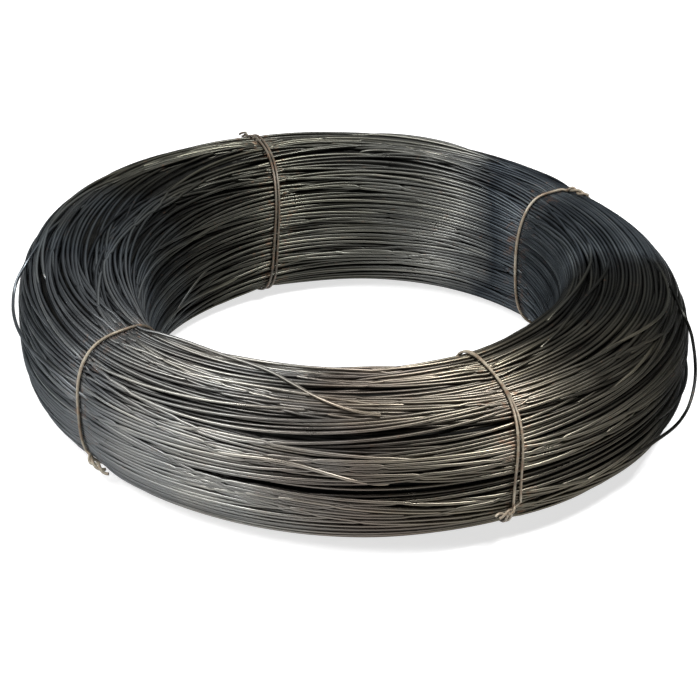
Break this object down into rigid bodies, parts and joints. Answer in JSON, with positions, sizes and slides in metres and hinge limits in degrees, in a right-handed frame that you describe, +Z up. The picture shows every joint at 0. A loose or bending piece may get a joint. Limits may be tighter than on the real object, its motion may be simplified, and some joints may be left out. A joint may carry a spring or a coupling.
{
  "type": "coil of black annealed wire",
  "caption": "Round coil of dark annealed steel wire lying flat, with an open bore, bound at intervals by thin wire ties; stock for tying and fencing.",
  "frame": {"origin": "on the floor under the coil, on the axis of its bore", "axes": "+Z up along the bore, +X to the right and -Y to the front as in the picture"},
  "size_m": [0.61, 0.61, 0.131],
  "materials": {
    "black_wire": "black annealed, semi-gloss oxide skin",
    "tie_wire": "annealed, dull and lightly rusted"
  },
  "bodies": {
    "root": {"wire_coil": "black_wire", "tie_front_left": "tie_wire", "tie_front_right": "tie_wire", "tie_back_left": "tie_wire", "tie_back_right": "tie_wire"}
  },
  "joints": []
}
